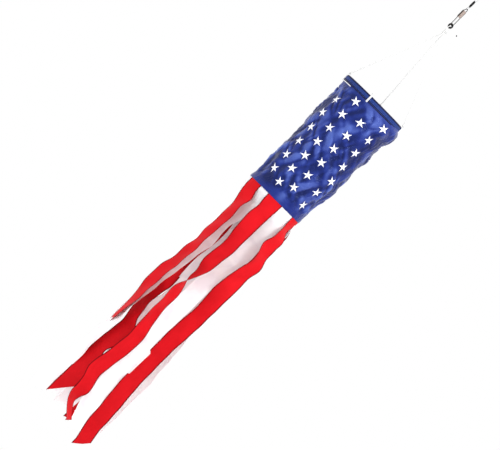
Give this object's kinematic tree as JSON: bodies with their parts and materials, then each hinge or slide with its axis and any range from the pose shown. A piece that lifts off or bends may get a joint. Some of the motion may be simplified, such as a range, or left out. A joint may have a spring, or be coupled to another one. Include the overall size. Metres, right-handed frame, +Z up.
{
  "type": "windsock",
  "caption": "Hanging decorative windsock: swivel and snap, ring, cord bridle, hooped star-patterned fabric tube and alternating long streamers.",
  "frame": {"origin": "the highest point inside the swivel's top eye, where a hook or a line bears", "axes": "+Z up, along the hanging windsock from its streamers to its swivel; -Y is the front, where the first bridle leg and the first red streamer are"},
  "size_m": [0.1912, 0.1912, 1.3102],
  "materials": {
    "steel_wire": "bright drawn wire",
    "black_metal": "black plated, satin",
    "dark_wire": "darkened spring wire",
    "stamped_clasp": "stamped sheet, brownish grey",
    "black_ring": "black, half gloss",
    "white_cord": "braided synthetic cord",
    "header_cloth": "darker blue webbing, stitched",
    "blue_cloth": "smooth woven polyester, soft sheen",
    "red_cloth": "thin woven nylon, soft sheen",
    "white_cloth": "thin woven nylon, soft sheen"
  },
  "bodies": {
    "top_eye": {"swivel_top_eye": "steel_wire"},
    "barrel": {"swivel_barrel": "black_metal"},
    "lower_eye": {"swivel_bottom_eye": "steel_wire"},
    "snap": {"snap_frame": "dark_wire", "snap_clasp": "stamped_clasp"},
    "gate": {"snap_gate": "dark_wire"},
    "ring": {"tie_ring": "black_ring"},
    "sock": {"bridle_knot": "white_cord", "bridle_tail": "white_cord", "bridle_cord_front": "white_cord", "bridle_cord_right": "white_cord", "bridle_cord_back": "white_cord", "bridle_cord_left": "white_cord", "hoop_wire": "steel_wire", "hoop_ferrule": "steel_wire", "header_band": "header_cloth", "sock_body": "blue_cloth", "hem_band": "blue_cloth"},
    "red_streamer_1": {"red_streamer_1": "red_cloth"},
    "white_streamer_1": {"white_streamer_1": "white_cloth"},
    "red_streamer_2": {"red_streamer_2": "red_cloth"},
    "white_streamer_2": {"white_streamer_2": "white_cloth"},
    "red_streamer_3": {"red_streamer_3": "red_cloth"},
    "white_streamer_3": {"white_streamer_3": "white_cloth"},
    "red_streamer_4": {"red_streamer_4": "red_cloth"},
    "white_streamer_4": {"white_streamer_4": "white_cloth"},
    "red_streamer_5": {"red_streamer_5": "red_cloth"},
    "white_streamer_5": {"white_streamer_5": "white_cloth"},
    "red_streamer_6": {"red_streamer_6": "red_cloth"},
    "white_streamer_6": {"white_streamer_6": "white_cloth"}
  },
  "joints": [
    {"name": "barrel_spin", "type": "hinge", "parent": "top_eye", "child": "barrel", "pos_m": [0, 0, -0.0159], "axis": [0, 0, 1], "continuous": true},
    {"name": "lower_eye_spin", "type": "hinge", "parent": "barrel", "child": "lower_eye", "pos_m": [0, 0, -0.022], "axis": [0, 0, 1], "continuous": true},
    {"name": "snap_swing", "type": "hinge", "parent": "lower_eye", "child": "snap", "pos_m": [0, 0, -0.0324], "axis": [-0.6157, 0.788, 0], "range_deg": [-75, 75]},
    {"name": "snap_gate_open", "type": "hinge", "parent": "snap", "child": "gate", "pos_m": [0.00315, 0.00246, -0.07485], "axis": [-0.6157, 0.788, 0], "range_deg": [0, 25]},
    {"name": "ring_swing", "type": "hinge", "parent": "snap", "child": "ring", "pos_m": [0, 0, -0.08035], "axis": [0.788, 0.6157, 0], "range_deg": [-60, 60]},
    {"name": "sock_swing", "type": "hinge", "parent": "ring", "child": "sock", "pos_m": [0, 0, -0.087], "axis": [0.809, -0.5878, 0], "range_deg": [-75, 75]},
    {"name": "red_streamer_1_swing", "type": "hinge", "parent": "sock", "child": "red_streamer_1", "pos_m": [0, -0.0711, -0.6194], "axis": [-1, 0, 0], "range_deg": [0, 75]},
    {"name": "white_streamer_1_swing", "type": "hinge", "parent": "sock", "child": "white_streamer_1", "pos_m": [0.03555, -0.06157, -0.6194], "axis": [-0.866, -0.5, 0], "range_deg": [0, 75]},
    {"name": "red_streamer_2_swing", "type": "hinge", "parent": "sock", "child": "red_streamer_2", "pos_m": [0.06157, -0.03555, -0.6194], "axis": [-0.5, -0.866, 0], "range_deg": [0, 75]},
    {"name": "white_streamer_2_swing", "type": "hinge", "parent": "sock", "child": "white_streamer_2", "pos_m": [0.0711, 0, -0.6194], "axis": [0, -1, 0], "range_deg": [0, 75]},
    {"name": "red_streamer_3_swing", "type": "hinge", "parent": "sock", "child": "red_streamer_3", "pos_m": [0.06157, 0.03555, -0.6194], "axis": [0.5, -0.866, 0], "range_deg": [0, 75]},
    {"name": "white_streamer_3_swing", "type": "hinge", "parent": "sock", "child": "white_streamer_3", "pos_m": [0.03555, 0.06157, -0.6194], "axis": [0.866, -0.5, 0], "range_deg": [0, 75]},
    {"name": "red_streamer_4_swing", "type": "hinge", "parent": "sock", "child": "red_streamer_4", "pos_m": [0, 0.0711, -0.6194], "axis": [1, 0, 0], "range_deg": [0, 75]},
    {"name": "white_streamer_4_swing", "type": "hinge", "parent": "sock", "child": "white_streamer_4", "pos_m": [-0.03555, 0.06157, -0.6194], "axis": [0.866, 0.5, 0], "range_deg": [0, 75]},
    {"name": "red_streamer_5_swing", "type": "hinge", "parent": "sock", "child": "red_streamer_5", "pos_m": [-0.06157, 0.03555, -0.6194], "axis": [0.5, 0.866, 0], "range_deg": [0, 75]},
    {"name": "white_streamer_5_swing", "type": "hinge", "parent": "sock", "child": "white_streamer_5", "pos_m": [-0.0711, 0, -0.6194], "axis": [0, 1, 0], "range_deg": [0, 75]},
    {"name": "red_streamer_6_swing", "type": "hinge", "parent": "sock", "child": "red_streamer_6", "pos_m": [-0.06157, -0.03555, -0.6194], "axis": [-0.5, 0.866, 0], "range_deg": [0, 75]},
    {"name": "white_streamer_6_swing", "type": "hinge", "parent": "sock", "child": "white_streamer_6", "pos_m": [-0.03555, -0.06157, -0.6194], "axis": [-0.866, 0.5, 0], "range_deg": [0, 75]}
  ]
}
